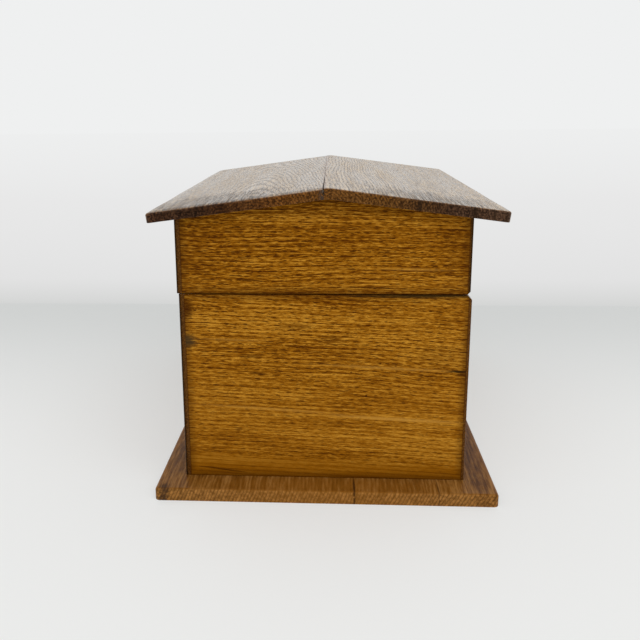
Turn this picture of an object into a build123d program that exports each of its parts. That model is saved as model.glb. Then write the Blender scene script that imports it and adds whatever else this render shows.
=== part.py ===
from build123d import *
import os
from math import atan2, cos, radians, sin, tan

# Oak humidor with a gabled lid, in millimetres. X runs along the box, the front with the
# lock faces -Y, the hinges are at +Y, +Z is up. The origin is under the middle of the base. The
# pieces are made round the middle of the carcass, and are moved to the base's middle at the end.

# Carcass of the case and of the lid
case_length = 334.0
case_width = 199.6
wall = 10.0            # oak boards of the case and of the lid
front_lap = 3.5        # end grain of the front boards that shows beside each end board
back_lap = 1.8         # and of the back boards
rim_height = 144.4     # top of the case walls above the table
rim_gap = 0.6          # between the rims of the closed box
lid_set = 1.2          # the lid sits this much forward of the case
case_set = 1.15        # the carcass stands this much forward on the base and under the roof
corner_round = 0.8     # eased upright corners

# Base board
base_thick = 9.0
base_margin_x = 22.0
base_margin_y = 19.85
base_corner = 3.5
base_top_round = 2.2

# Roof
roof_thick = 7.3
eave_margin = 20.35    # roof beyond the case, front and back
gable_margin = 9.0     # roof beyond the case at its two ends
eave_rise = 56.8       # upper edge of the eaves above the lid's rim
roof_rise = 15.9       # ridge above the eaves
ridge_shift = 1.95     # the ridge lies this much behind the middle
glue_shift = -1.15     # glue line of the two roof boards, in front of the ridge
ridge_round = 22.0
roof_corner = 3.0
roof_edge_round = 1.2
crack_width = 1.0      # the glue line has opened from the right end
crack_length = 130.0
crack_depth = 5.0      # below the ridge
nail_radius = 1.4      # shallow hole over a nail beside the open glue line
nail_depth = 0.8
nail_drop = 4.0        # from the ridge

# Cedar lining
liner = 5.0
floor_liner = 4.0
lip_rise = 4.5         # the case lining stands above the rim and closes into the lid
lip_gap = 0.3
liner_gap = 0.5        # between the lip and the lid's lining
ceiling_thick = 5.0
ceiling_room = 2.0     # between the ceiling and the roof at the long walls

# Hinge side: the two rims are bevelled, and the bevels meet as the lid's stop
bevel_depth = 3.5
stop_angle = 100.0

# Butt hinges
hinge_length = 45.0
hinge_from_end = 70.0  # from the end of the case to the middle of a hinge
leaf_thick = 1.2
leaf_inset = 0.8       # from the inner face of the wall to the leaf
knuckle_radius = 2.2
knuckle_count = 5
knuckle_gap = 0.3
pin_radius = 0.8
pin_play = 0.05
hinge_play = 0.3       # in the wood around the knuckles
leaf_play = 0.1        # around a leaf in its recess
leaf_screw_in = 2.9    # from the inner face of the wall to the screws
leaf_screw_pitch = 30.0
leaf_screw_count = 2

# Box lock in the middle of the front
lock_cover = 3.0       # oak left in front of the lock
lock_width = 43.0
lock_height = 26.0
lock_sheet = 1.0
selvedge_length = 60.0
selvedge_thick = 1.5
selvedge_lead = 0.5    # the selvedge reaches this much in front of the lock case
staple_pitch = 18.0
staple_width = 4.0
staple_thick = 4.0
staple_drop = 8.6
staple_foot = 0.9      # metal under the eye
eye_width = 2.4
eye_height = 4.6
slot_play = 0.5        # around the staples in the selvedge
bolt_travel = 5.0
bolt_play = 0.3        # beside the bolt, and around its noses in the eyes
bolt_slip = 0.1        # under the bolt
bolt_height = 6.0
bolt_drop = 0.6        # from the foot of a staple to the bolt
nose_back = 0.5        # from a nose to its staple, and past it when locked
riser_width = 3.0
ledge_length = 12.0
ledge_thick = 2.0
talon_width = 6.0
talon_height = 2.5
key_height = 20.0      # from the rim down to the keyhole's middle
key_radius = 2.6
key_slot_width = 2.2
key_slot_length = 6.4
drill_pin_radius = 1.0
escutcheon_rim = 1.6
escutcheon_thick = 1.5
escutcheon_proud = 0.3

# Humidifier under the ceiling
tank_length = 150.0
tank_width = 60.0
tank_height = 13.0
tank_sheet = 1.0
tank_tab = 10.0
post_radius = 2.5
post_in = 6.0          # from the end of the tank to a post
sponge_play = 0.3
grille_thick = 1.0
vent_width = 3.0
vent_length = 20.0
vent_pitch_x = 8.0
vent_pitch_y = 25.0
vent_columns = 15
vent_rows = 2

# Screws: head radius, shank radius and length of each kind
base_screw = (3.4, 1.7, 24.0)
leaf_screw = (1.5, 0.75, 8.0)
plate_screw = (1.6, 0.8, 9.0)
grille_screw = (1.6, 0.8, 7.0)
tab_screw = (1.6, 0.8, 5.0)
base_screw_sink = 0.6
base_screw_pitch = 200.0
plate_screw_in = 4.5   # from the end of a plate to its screw
driver_slot = 0.5
screw_play = 0.1
past = 1.0             # how far a cutting shape runs past a face

# Worked out from the sizes above
half_length = case_length / 2
half_width = case_width / 2
inner_length = case_length - 2 * wall
inner_half = half_width - wall
lid_rim = rim_height + rim_gap
lid_front = -half_width - lid_set
lid_back = half_width - lid_set
lid_inner_front = lid_front + wall
lid_inner_back = lid_back - wall
lip_top = rim_height + lip_rise
lip_relief = lid_set + lip_gap

eave_height = lid_rim + eave_rise
ridge_height = eave_height + roof_rise
eave_half = half_width + eave_margin
roof_length = case_length + 2 * gable_margin
front_pitch = atan2(ridge_height - eave_height, eave_half + ridge_shift)
back_pitch = atan2(ridge_height - eave_height, eave_half - ridge_shift)

pivot_z = rim_height + rim_gap / 2
vee_y = half_width - bevel_depth
bevel_reach = bevel_depth - lid_set
pivot_y = vee_y + bevel_reach * (1 - 1 / tan(radians(stop_angle / 2)))
hinge_places = {"left": -half_length + hinge_from_end, "right": half_length - hinge_from_end}

lock_front = -half_width + lock_cover
lock_back = -inner_half
lock_top = rim_height - selvedge_thick
lock_bottom = lock_top - lock_height
lock_y = (lock_front + lock_back) / 2
lock_room = lock_back - lock_front - 2 * lock_sheet
selvedge_front = lock_front - selvedge_lead
staple_bottom = lid_rim - staple_drop
eye_bottom = staple_bottom + staple_foot
bolt_top = staple_bottom - bolt_drop
bolt_bottom = bolt_top - bolt_height
key_z = rim_height - key_height


def block(x, y, z):
    """Box between (low, high) pairs."""
    size = [high - low for low, high in (x, y, z)]
    middle = [(low + high) / 2 for low, high in (x, y, z)]
    return Pos(*middle) * Box(*size)


def both(reach):
    """(low, high) pair of a span centred on zero."""
    return (-reach, reach)


def along_x(points, x):
    """Prism with its outline in Y and Z, between the X values of a pair."""
    outline = make_face(Polyline(*points, close=True))
    return extrude(Plane.YZ.offset(x[0]) * outline, amount=x[1] - x[0])


def rod_x(radius, x, y, z):
    """Rod along X between the X values of a pair."""
    rod = Cylinder(radius, x[1] - x[0], rotation=(0, 90, 0))
    return Pos((x[0] + x[1]) / 2, y, z) * rod


def bundle(pieces):
    """Separate solids of one node."""
    return Compound([piece.solid() for piece in pieces])


def screw(kind):
    """Countersunk screw with a slotted head at z = 0, pointing down."""
    head, shank, length = kind
    cone = head - shank
    profile = Polyline((0, 0), (head, 0), (shank, -cone), (shank, -length), (0, -length), close=True)
    body = revolve(Plane.XZ * make_face(profile), Axis.Z)
    return body - block(both(head + past), both(driver_slot / 2), (-driver_slot, past))


def screw_hole(kind):
    """Countersunk hole that a screw of this kind sits in with a little play."""
    head, shank, length = kind
    cone = head - shank
    wide = head + screw_play
    narrow = shank + screw_play
    profile = Polyline(
        (0, past), (wide, past), (wide, 0), (narrow, -cone), (narrow, -length - screw_play),
        (0, -length - screw_play), close=True,
    )
    return revolve(Plane.XZ * make_face(profile), Axis.Z)


def screws_at(kind, places, up=False):
    """Screws and their holes at (x, y, z) places, pointing down or up."""
    turn = Rot(180, 0, 0) if up else Rot(0, 0, 0)
    screws = [Pos(*place) * turn * screw(kind) for place in places]
    holes = [Pos(*place) * turn * screw_hole(kind) for place in places]
    return screws, holes


def slope_under(y):
    """Height of the roof's underside, y counted from the roof's middle."""
    front = eave_height + (eave_half + y) * tan(front_pitch) - roof_thick / cos(front_pitch)
    back = eave_height + (eave_half - y) * tan(back_pitch) - roof_thick / cos(back_pitch)
    return min(front, back)


def roof_under(y):
    """Height of the roof's underside, y counted from the carcass's middle."""
    return slope_under(y - case_set)


def ridge_under_y():
    """Where the undersides of the two slopes meet, counted from the roof's middle."""
    lift = roof_thick / cos(front_pitch) - roof_thick / cos(back_pitch)
    spread = eave_half * (tan(back_pitch) - tan(front_pitch))
    return (spread + lift) / (tan(front_pitch) + tan(back_pitch))


def up_to_roof(y, z, x):
    """Board from height z up to the roof's underside, over the Y and X pairs."""
    points = [(y[0], z), (y[1], z), (y[1], roof_under(y[1]))]
    peak = ridge_under_y() + case_set
    if y[0] < peak < y[1]:
        points.append((peak, roof_under(peak)))
    points.append((y[0], roof_under(y[0])))
    return along_x(points, x)


def rim_vee():
    """The open V that bevels both rims on the hinge side."""
    mouth = bevel_depth + past
    points = [(vee_y, pivot_z), (vee_y + mouth, pivot_z - mouth), (vee_y + mouth, pivot_z + mouth)]
    return along_x(points, both(half_length + past))


def eased(board, y_face):
    """The board with its two upright corners on the face at y eased."""
    corners = [edge for edge in board.edges().filter_by(Axis.Z)
               if abs(abs(edge.center().X) - half_length) < corner_round
               and abs(edge.center().Y - y_face) < corner_round / 2]
    return fillet(corners, corner_round)


# Hinges

def knuckles(middle, own):
    """(low, high) X pairs of the knuckles that the case leaf (own 0) or lid leaf (own 1) has."""
    step = (hinge_length + knuckle_gap) / knuckle_count
    start = middle - hinge_length / 2
    firsts = [start + i * step for i in range(own, knuckle_count, 2)]
    return [(low, low + step - knuckle_gap) for low in firsts]


def hinge_leaf(middle, lid):
    """One leaf: a plate let into the rim, its knuckles, the pin's bore and the screw holes."""
    z = (lid_rim, lid_rim + leaf_thick) if lid else (rim_height - leaf_thick, rim_height)
    reach = hinge_length / 2
    leaf = block((middle - reach, middle + reach), (inner_half + leaf_inset, pivot_y), z)
    for low, high in knuckles(middle, 0 if lid else 1):
        room = (low - knuckle_gap, high + knuckle_gap)
        leaf -= rod_x(knuckle_radius + hinge_play, room, pivot_y, pivot_z)
    for span in knuckles(middle, 1 if lid else 0):
        leaf += rod_x(knuckle_radius, span, pivot_y, pivot_z)
    bore = (middle - reach - past, middle + reach + past)
    leaf -= rod_x(pin_radius + pin_play, bore, pivot_y, pivot_z)
    for hole in leaf_screws(middle, lid)[1]:
        leaf -= hole
    return leaf


def leaf_screws(middle, lid):
    """Screws of one leaf, and their holes."""
    z = lid_rim if lid else rim_height
    first = middle - leaf_screw_pitch * (leaf_screw_count - 1) / 2
    places = [(first + i * leaf_screw_pitch, inner_half + leaf_screw_in, z) for i in range(leaf_screw_count)]
    return screws_at(leaf_screw, places, up=lid)


def hinge_recess(lid):
    """What both hinges take out of a back board: leaf recesses, knuckle room, screw holes."""
    z = (lid_rim - past, lid_rim + leaf_thick) if lid else (rim_height - leaf_thick, rim_height + past)
    reach = hinge_length / 2 + leaf_play
    cuts = []
    for middle in hinge_places.values():
        x = (middle - reach, middle + reach)
        cuts.append(block(x, (inner_half + leaf_inset - leaf_play, half_width + past), z))
        cuts.append(rod_x(knuckle_radius + hinge_play, x, pivot_y, pivot_z))
        cuts.extend(leaf_screws(middle, lid)[1])
    return cuts


def hinge_pin(middle):
    """Pin through the five knuckles."""
    return rod_x(pin_radius, (middle - hinge_length / 2, middle + hinge_length / 2), pivot_y, pivot_z)


# Lock

def keyhole(grow, y):
    """Keyhole outline, wider by grow all round, through the Y values of a pair."""
    slot_low = key_z - key_slot_length - grow
    barrel = Pos(0, (y[0] + y[1]) / 2, key_z) * Cylinder(key_radius + grow, y[1] - y[0], rotation=(90, 0, 0))
    return barrel + block(both(key_slot_width / 2 + grow), y, (slot_low, key_z))


def staples_x():
    """Middles of the two staples."""
    return (-staple_pitch / 2, staple_pitch / 2)


def plate_screws(z, y, up):
    """The two screws of the selvedge or of the link plate, and their holes."""
    x = selvedge_length / 2 - plate_screw_in
    return screws_at(plate_screw, [(-x, y, z), (x, y, z)], up=up)


def lock_case():
    """Open brass tray with a keyhole, a drill pin and two ledges for the bolt."""
    x = lock_width / 2
    tray = block(both(x), (lock_front, lock_back - lock_sheet), (lock_bottom, lock_top))
    room = (lock_front + lock_sheet, lock_back)
    tray -= block(both(x - lock_sheet), room, (lock_bottom + lock_sheet, lock_top + past))
    tray -= keyhole(0, (lock_front - past, lock_front + lock_sheet + past))
    room = (lock_front + lock_sheet, lock_back - lock_sheet)
    ledge_top = bolt_bottom - bolt_slip
    for side in (-1, 1):
        ends = sorted((side * (x - lock_sheet), side * (x - lock_sheet - ledge_length)))
        tray += block(ends, room, (ledge_top - ledge_thick, ledge_top))
    return tray


def drill_pin():
    """Pin that the key's barrel turns on, standing on the back plate."""
    y = (lock_front, lock_back - lock_sheet)
    return Pos(0, (y[0] + y[1]) / 2, key_z) * Cylinder(drill_pin_radius, y[1] - y[0], rotation=(90, 0, 0))


def lock_back_plate():
    """Back plate of the lock with the drill pin."""
    x = lock_width / 2
    plate = block(both(x), (lock_back - lock_sheet, lock_back), (lock_bottom, lock_top))
    return plate + drill_pin()


def lock_selvedge():
    """Plate on the rim with two slots for the staples."""
    y = (selvedge_front, lock_back)
    plate = block(both(selvedge_length / 2), y, (lock_top, rim_height))
    half_x = staple_width / 2 + slot_play
    half_y = staple_thick / 2 + slot_play
    for middle in staples_x():
        slot = ((middle - half_x, middle + half_x), (lock_y - half_y, lock_y + half_y))
        plate -= block(*slot, (lock_top - past, rim_height + past))
    for hole in plate_screws(rim_height, lock_y, up=False)[1]:
        plate -= hole
    return plate


def lock_bolt():
    """Sliding bolt, unlocked: a bar with a talon for the key and two noses on risers."""
    noses = [middle - staple_width / 2 - nose_back for middle in staples_x()]
    reach = staple_width + 2 * nose_back
    left = noses[0] - reach - riser_width
    right = lock_width / 2 - lock_sheet - bolt_travel - nose_back
    thick = lock_room - 2 * bolt_play
    bolt = block((left, right), (lock_y - thick / 2, lock_y + thick / 2), (bolt_bottom, bolt_top))
    talon = (bolt_bottom - past, bolt_bottom + talon_height)
    bolt -= block(both(talon_width / 2), (lock_y - thick, lock_y + thick), talon)
    nose_y = (lock_y - eye_width / 2 + bolt_play, lock_y + eye_width / 2 - bolt_play)
    nose_z = (eye_bottom + bolt_play, eye_bottom + eye_height - bolt_play)
    for tip in noses:
        bolt += block((tip - reach - riser_width, tip), nose_y, nose_z)
        bolt += block((tip - reach - riser_width, tip - reach), nose_y, (bolt_bottom, nose_z[1]))
    return bolt


def link_plate():
    """Plate let into the lid's rim, with two staples whose eyes take the bolt's noses."""
    y = (selvedge_front, lid_inner_front - slot_play)
    plate = block(both(selvedge_length / 2), y, (lid_rim, lid_rim + selvedge_thick))
    for hole in plate_screws(lid_rim, lock_y, up=True)[1]:
        plate -= hole
    for middle in staples_x():
        x = (middle - staple_width / 2, middle + staple_width / 2)
        y = (lock_y - staple_thick / 2, lock_y + staple_thick / 2)
        plate += block(x, y, (staple_bottom, lid_rim))
        eye = (lock_y - eye_width / 2, lock_y + eye_width / 2)
        plate -= block((x[0] - past, x[1] + past), eye, (eye_bottom, eye_bottom + eye_height))
    return plate


def keyhole_escutcheon():
    """Brass keyhole thimble let into the front."""
    face = -half_width
    y = (face - escutcheon_proud, face + escutcheon_thick)
    return keyhole(escutcheon_rim, y) - keyhole(0, (y[0] - past, y[1] + past))


def lock_recess():
    """What the lock takes out of the case's front board."""
    x = lock_width / 2 + leaf_play
    y = (lock_front - leaf_play, lock_back + past)
    cuts = [block(both(x), y, (lock_bottom - leaf_play, rim_height + past))]
    x = selvedge_length / 2 + leaf_play
    y = (selvedge_front - leaf_play, lock_back + past)
    cuts.append(block(both(x), y, (lock_top, rim_height + past)))
    cuts.append(keyhole(0, (-half_width - past, lock_front + past)))
    cuts.append(keyhole(escutcheon_rim, (-half_width - past, -half_width + escutcheon_thick)))
    return cuts + plate_screws(rim_height, lock_y, up=False)[1]


def link_recess():
    """What the link plate takes out of the lid's front board."""
    x = selvedge_length / 2 + leaf_play
    y = (selvedge_front - leaf_play, lid_inner_front + past)
    cuts = [block(both(x), y, (lid_rim - past, lid_rim + selvedge_thick))]
    return cuts + plate_screws(lid_rim, lock_y, up=True)[1]


# Case

def base_screws():
    """Screws up through the base into the long walls and the ends, and their holes."""
    x = base_screw_pitch / 2
    y = half_width - wall / 2
    places = [(end * x, side * y, base_screw_sink) for end in (-1, 1) for side in (-1, 1)]
    places += [(end * (half_length - wall / 2), 0, base_screw_sink) for end in (-1, 1)]
    return screws_at(base_screw, places, up=True)


def base_board():
    """Base with rounded corners and softened edges."""
    x = both(half_length + base_margin_x)
    y = both(half_width + base_margin_y)
    board = Pos(0, case_set, 0) * block(x, y, (0, base_thick))
    board = fillet(board.edges().filter_by(Axis.Z), base_corner)
    board = fillet(board.faces().sort_by(Axis.Z)[-1].edges(), base_top_round)
    for hole in base_screws()[1]:
        board -= hole
    return board


def case_long_board(side):
    """Front (-1) or back (1) board, rebated at its ends to lap the end boards."""
    outer = side * half_width
    inner = side * inner_half
    step = side * (half_width - (back_lap if side > 0 else front_lap))
    z = (base_thick, rim_height)
    board = block(both(half_length), sorted((outer, step)), z)
    board += block(both(inner_length / 2), sorted((step, inner)), z)
    return eased(board, outer)


def case_end_board(side):
    """Left (-1) or right (1) end board, between the laps of the long boards."""
    x = sorted((side * half_length, side * inner_length / 2))
    return block(x, (front_lap - half_width, half_width - back_lap), (base_thick, rim_height))


def lip_cut():
    """Frame above the rim that the lid's walls need clear of the standing lip."""
    z = (rim_height, lip_top + past)
    whole = block(both(inner_length / 2 + past), both(inner_half + past), z)
    return whole - block(both(inner_length / 2 - lip_relief), both(inner_half - lip_relief), z)


def case_liner_long(side):
    """Cedar lining of the front (-1) or back (1)."""
    y = sorted((side * inner_half, side * (inner_half - liner)))
    return block(both(inner_length / 2), y, (base_thick, lip_top)) - lip_cut()


def case_liner_end(side):
    """Cedar lining of the left (-1) or right (1) end, between the long linings."""
    x = sorted((side * inner_length / 2, side * (inner_length / 2 - liner)))
    return block(x, both(inner_half - liner), (base_thick, lip_top)) - lip_cut()


def case_liner_floor():
    """Cedar floor inside the four wall linings."""
    x = both(inner_length / 2 - liner)
    return block(x, both(inner_half - liner), (base_thick, base_thick + floor_liner))


# Lid

def lid_long_board(outer, inner):
    """Lid board between its outer and inner Y, under the roof, rebated like the case's."""
    step = outer + front_lap if outer < inner else outer - back_lap
    board = up_to_roof(sorted((outer, step)), lid_rim, both(half_length))
    board += up_to_roof(sorted((step, inner)), lid_rim, both(inner_length / 2))
    return eased(board, outer)


def lid_gable(side):
    """Left (-1) or right (1) gable board, peaked to the roof's slopes."""
    x = sorted((side * half_length, side * inner_length / 2))
    return up_to_roof((lid_front + front_lap, lid_back - back_lap), lid_rim, x)


def roof():
    """The two roof boards, with the glue line open at the right end."""
    front_foot = (-eave_half + roof_thick * sin(front_pitch), eave_height - roof_thick * cos(front_pitch))
    back_foot = (eave_half - roof_thick * sin(back_pitch), eave_height - roof_thick * cos(back_pitch))
    peak = ridge_under_y()
    points = [
        (-eave_half, eave_height), (ridge_shift, ridge_height), (eave_half, eave_height),
        back_foot, (peak, slope_under(peak)), front_foot,
    ]
    whole = along_x(points, both(roof_length / 2))
    ridge = whole.edges().filter_by(Axis.X).sort_by(Axis.Z)[-1]
    whole = fillet(ridge, ridge_round)
    ends = [edge for edge in whole.edges() if abs(edge.center().Y) > eave_half - roof_corner
            and abs(edge.center().X) > roof_length / 2 - roof_edge_round
            and abs(edge.tangent_at(0.5).Z) > cos(radians(45))]
    whole = fillet(ends, roof_corner)
    top = [edge for edge in whole.edges() if edge.center().Z > slope_under(edge.center().Y) + roof_thick / 2
           and (abs(edge.center().X) > roof_length / 2 - roof_corner
                or abs(edge.center().Y) > eave_half - roof_corner)]
    whole = fillet(top, roof_edge_round)
    front = whole & block(both(roof_length), (-case_width, glue_shift), (0, 2 * ridge_height))
    back = whole & block(both(roof_length), (glue_shift, case_width), (0, 2 * ridge_height))
    end = roof_length / 2 + past
    wedge = Polyline(
        (end, glue_shift + past), (end, glue_shift - crack_width),
        (roof_length / 2 - crack_length, glue_shift), close=True,
    )
    crack = Pos(0, 0, ridge_height - crack_depth) * extrude(make_face(wedge), amount=ridge_height)
    nail_y = glue_shift - crack_width / 2
    nail = rod_x(nail_radius, (roof_length / 2 - nail_depth, end), nail_y, ridge_height - nail_drop)
    onto_lid = Pos(0, case_set, 0)
    return onto_lid * (front - crack - nail), onto_lid * (back - nail)


def ceiling_z():
    """(low, high) of the lid's cedar ceiling."""
    top = min(roof_under(lid_inner_front), roof_under(lid_inner_back)) - ceiling_room
    return (top - ceiling_thick, top)


def lid_liner_long(outer, side):
    """Cedar lining on the lid's front (-1) or back (1) board."""
    y = sorted((outer, outer - side * liner))
    return block(both(inner_length / 2), y, (lip_top + liner_gap, ceiling_z()[0]))


def lid_liner_end(side):
    """Cedar lining on the lid's left (-1) or right (1) gable."""
    x = sorted((side * inner_length / 2, side * (inner_length / 2 - liner)))
    y = (lid_inner_front + liner, lid_inner_back - liner)
    return block(x, y, (lip_top + liner_gap, ceiling_z()[0]))


def lid_ceiling():
    """Cedar ceiling across the lid."""
    board = block(both(inner_length / 2), (lid_inner_front, lid_inner_back), ceiling_z())
    for hole in tab_screws()[1]:
        board -= hole
    return board


# Humidifier

def tab_screws():
    """Screws through the tank's end tabs into the ceiling, and their holes."""
    x = tank_length / 2 + tank_tab / 2
    z = ceiling_z()[0] - tank_sheet
    return screws_at(tab_screw, [(-x, 0, z), (x, 0, z)], up=True)


def grille_screws():
    """Screws that hold the grille to the tank's posts, and their holes."""
    x = tank_length / 2 - post_in
    z = ceiling_z()[0] - tank_height - grille_thick
    return screws_at(grille_screw, [(-x, 0, z), (x, 0, z)], up=True)


def humidifier_tank():
    """Folded brass tank, open downwards, with end tabs and two screw posts."""
    top = ceiling_z()[0]
    low = top - tank_height
    x = tank_length / 2
    y = tank_width / 2
    tank = block(both(x), both(y), (low, top))
    tank -= block(both(x - tank_sheet), both(y - tank_sheet), (low - past, top - tank_sheet))
    tank += block(both(x + tank_tab), both(y), (top - tank_sheet, top))
    for end in (-1, 1):
        middle = (low + top) / 2
        tank += Pos(end * (x - post_in), 0, middle) * Cylinder(post_radius, tank_height)
    for hole in tab_screws()[1] + grille_screws()[1]:
        tank -= hole
    return tank


def humidifier_sponge():
    """Sponge block between the posts."""
    top = ceiling_z()[0]
    x = tank_length / 2 - post_in - post_radius - sponge_play
    y = tank_width / 2 - tank_sheet - sponge_play
    return block(both(x), both(y), (top - tank_height + sponge_play, top - tank_sheet - sponge_play))


def humidifier_grille():
    """Perforated brass plate over the tank's mouth."""
    top = ceiling_z()[0] - tank_height
    plate = block(both(tank_length / 2), both(tank_width / 2), (top - grille_thick, top))
    grid = GridLocations(vent_pitch_x, vent_pitch_y, vent_columns, vent_rows)
    vents = Sketch() + [place * Rectangle(vent_width, vent_length) for place in grid]
    plate -= extrude(Plane.XY.offset(top - grille_thick - past) * vents, amount=grille_thick + 2 * past)
    for hole in grille_screws()[1]:
        plate -= hole
    return plate


def cut(board, cuts):
    """The board with every cutting shape taken out."""
    for shape in cuts:
        board -= shape
    return board


def build_case(parts):
    """Base, walls, lining and the case's halves of the hinges."""
    floor_holes = base_screws()[1]
    vee = rim_vee()
    parts["base_board"] = base_board()
    parts["base_screws"] = bundle(base_screws()[0])
    parts["case_front_board"] = cut(case_long_board(-1), floor_holes + lock_recess())
    parts["case_back_board"] = cut(case_long_board(1), floor_holes + [vee] + hinge_recess(lid=False))
    for name, side in (("left", -1), ("right", 1)):
        parts[f"case_{name}_end"] = cut(case_end_board(side), floor_holes + [vee])
        parts[f"case_liner_{name}"] = case_liner_end(side)
    parts["case_liner_front"] = case_liner_long(-1)
    parts["case_liner_back"] = case_liner_long(1)
    parts["case_liner_floor"] = case_liner_floor()


def build_lid(parts):
    """Walls, gables, roof, lining and ceiling of the lid."""
    vee = rim_vee()
    front = lid_long_board(lid_front, lid_inner_front)
    back = lid_long_board(lid_back, lid_inner_back)
    parts["lid_front_board"] = cut(front, link_recess())
    parts["lid_back_board"] = cut(back, [vee] + hinge_recess(lid=True))
    for name, side in (("left", -1), ("right", 1)):
        parts[f"lid_{name}_gable"] = cut(lid_gable(side), [vee])
        parts[f"lid_liner_{name}"] = lid_liner_end(side)
    parts["roof_front_board"], parts["roof_back_board"] = roof()
    parts["lid_liner_front"] = lid_liner_long(lid_inner_front, -1)
    parts["lid_liner_back"] = lid_liner_long(lid_inner_back, 1)
    parts["lid_ceiling"] = lid_ceiling()


def build_hinges(parts):
    """Two butt hinges with their pins and screws."""
    for name, middle in hinge_places.items():
        parts[f"hinge_case_leaf_{name}"] = hinge_leaf(middle, lid=False)
        parts[f"hinge_lid_leaf_{name}"] = hinge_leaf(middle, lid=True)
        parts[f"hinge_pin_{name}"] = hinge_pin(middle)
    for name, lid in (("case", False), ("lid", True)):
        screws = [piece for middle in hinge_places.values() for piece in leaf_screws(middle, lid)[0]]
        parts[f"hinge_{name}_screws"] = bundle(screws)


def build_lock(parts):
    """Box lock in the case and its link plate in the lid."""
    parts["lock_case"] = lock_case()
    parts["lock_back_plate"] = lock_back_plate()
    parts["lock_selvedge"] = lock_selvedge()
    parts["lock_bolt"] = lock_bolt()
    parts["lock_screws"] = bundle(plate_screws(rim_height, lock_y, up=False)[0])
    parts["keyhole_escutcheon"] = keyhole_escutcheon()
    parts["link_plate"] = link_plate()
    parts["link_screws"] = bundle(plate_screws(lid_rim, lock_y, up=True)[0])


def build_humidifier(parts):
    """Humidifier on the ceiling."""
    parts["humidifier_tank"] = humidifier_tank()
    parts["humidifier_sponge"] = humidifier_sponge()
    parts["humidifier_grille"] = humidifier_grille()
    parts["humidifier_screws"] = bundle(tab_screws()[0] + grille_screws()[0])


def build_all():
    """Every node of the box by name."""
    parts = {}
    build_case(parts)
    build_lid(parts)
    build_hinges(parts)
    build_lock(parts)
    build_humidifier(parts)
    to_base = Pos(0, -case_set, 0)
    return {name: to_base * shape for name, shape in parts.items()}


def main():
    """Write each node's STEP file."""
    os.makedirs("parts", exist_ok=True)
    for name, shape in build_all().items():
        export_step(shape, f"parts/{name}.step")
    print(f"pivot at y {pivot_y - case_set:.4f}, z {pivot_z:.4f}; bolt travel {bolt_travel}")


main()
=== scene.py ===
"""Looks of the oak humidor: its finishes, its worn boards, the studio and the camera."""

import logging
from dataclasses import dataclass, field, replace
from enum import Enum
from itertools import product
from math import cos, radians, sin
from typing import Any, Union

import bpy
import numpy as np
from mathutils import Matrix, Vector


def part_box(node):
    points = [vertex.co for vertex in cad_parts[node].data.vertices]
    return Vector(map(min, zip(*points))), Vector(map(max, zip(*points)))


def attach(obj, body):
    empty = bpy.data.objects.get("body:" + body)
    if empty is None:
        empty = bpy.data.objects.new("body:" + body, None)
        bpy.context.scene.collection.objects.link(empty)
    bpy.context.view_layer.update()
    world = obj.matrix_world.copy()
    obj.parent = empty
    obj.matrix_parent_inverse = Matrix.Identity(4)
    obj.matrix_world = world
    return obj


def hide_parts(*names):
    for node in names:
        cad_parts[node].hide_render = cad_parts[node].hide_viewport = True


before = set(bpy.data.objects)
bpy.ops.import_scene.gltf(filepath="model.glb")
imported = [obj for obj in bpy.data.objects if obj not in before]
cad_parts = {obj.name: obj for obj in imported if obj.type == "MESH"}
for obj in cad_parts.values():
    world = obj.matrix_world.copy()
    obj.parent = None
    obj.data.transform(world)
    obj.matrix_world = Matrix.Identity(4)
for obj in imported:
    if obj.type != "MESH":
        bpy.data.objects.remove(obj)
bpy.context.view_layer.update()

log = logging.getLogger("humidor")

LATTICE = 64             # cells of the seeded lattice before it repeats
SPREAD_SAMPLES = 4000    # steps in which a run's gaps are added up
SPREAD_WAY = 6           # way over which a gap grows by one unit
ARC_STEPS = 6            # points of a quarter circle

Socket = bpy.types.NodeSocket
Material = bpy.types.Material
Piece = bpy.types.Object
Tree = bpy.types.NodeTree
Array = np.ndarray
Pair = tuple[float, float]
Triple = tuple[float, float, float]
Colour = tuple[float, float, float, float]
Stops = tuple[tuple[float, Colour], ...]
Feed = Union[Socket, float, tuple[float, ...]]
Feeds = Union[dict[Any, Feed], None]


def paint(*levels: int) -> Colour:
    """Linear colour of a display colour, by the sRGB curve.

    Args:
        levels: Red, green and blue, from 0 to 255 as displayed.

    Returns:
        The linear colour with full alpha.
    """
    shares = [level / 255 for level in levels]
    linear = [s / 12.92 if s <= 0.04045 else ((s + 0.055) / 1.055) ** 2.4 for s in shares]
    return (*linear, 1.0)


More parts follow.
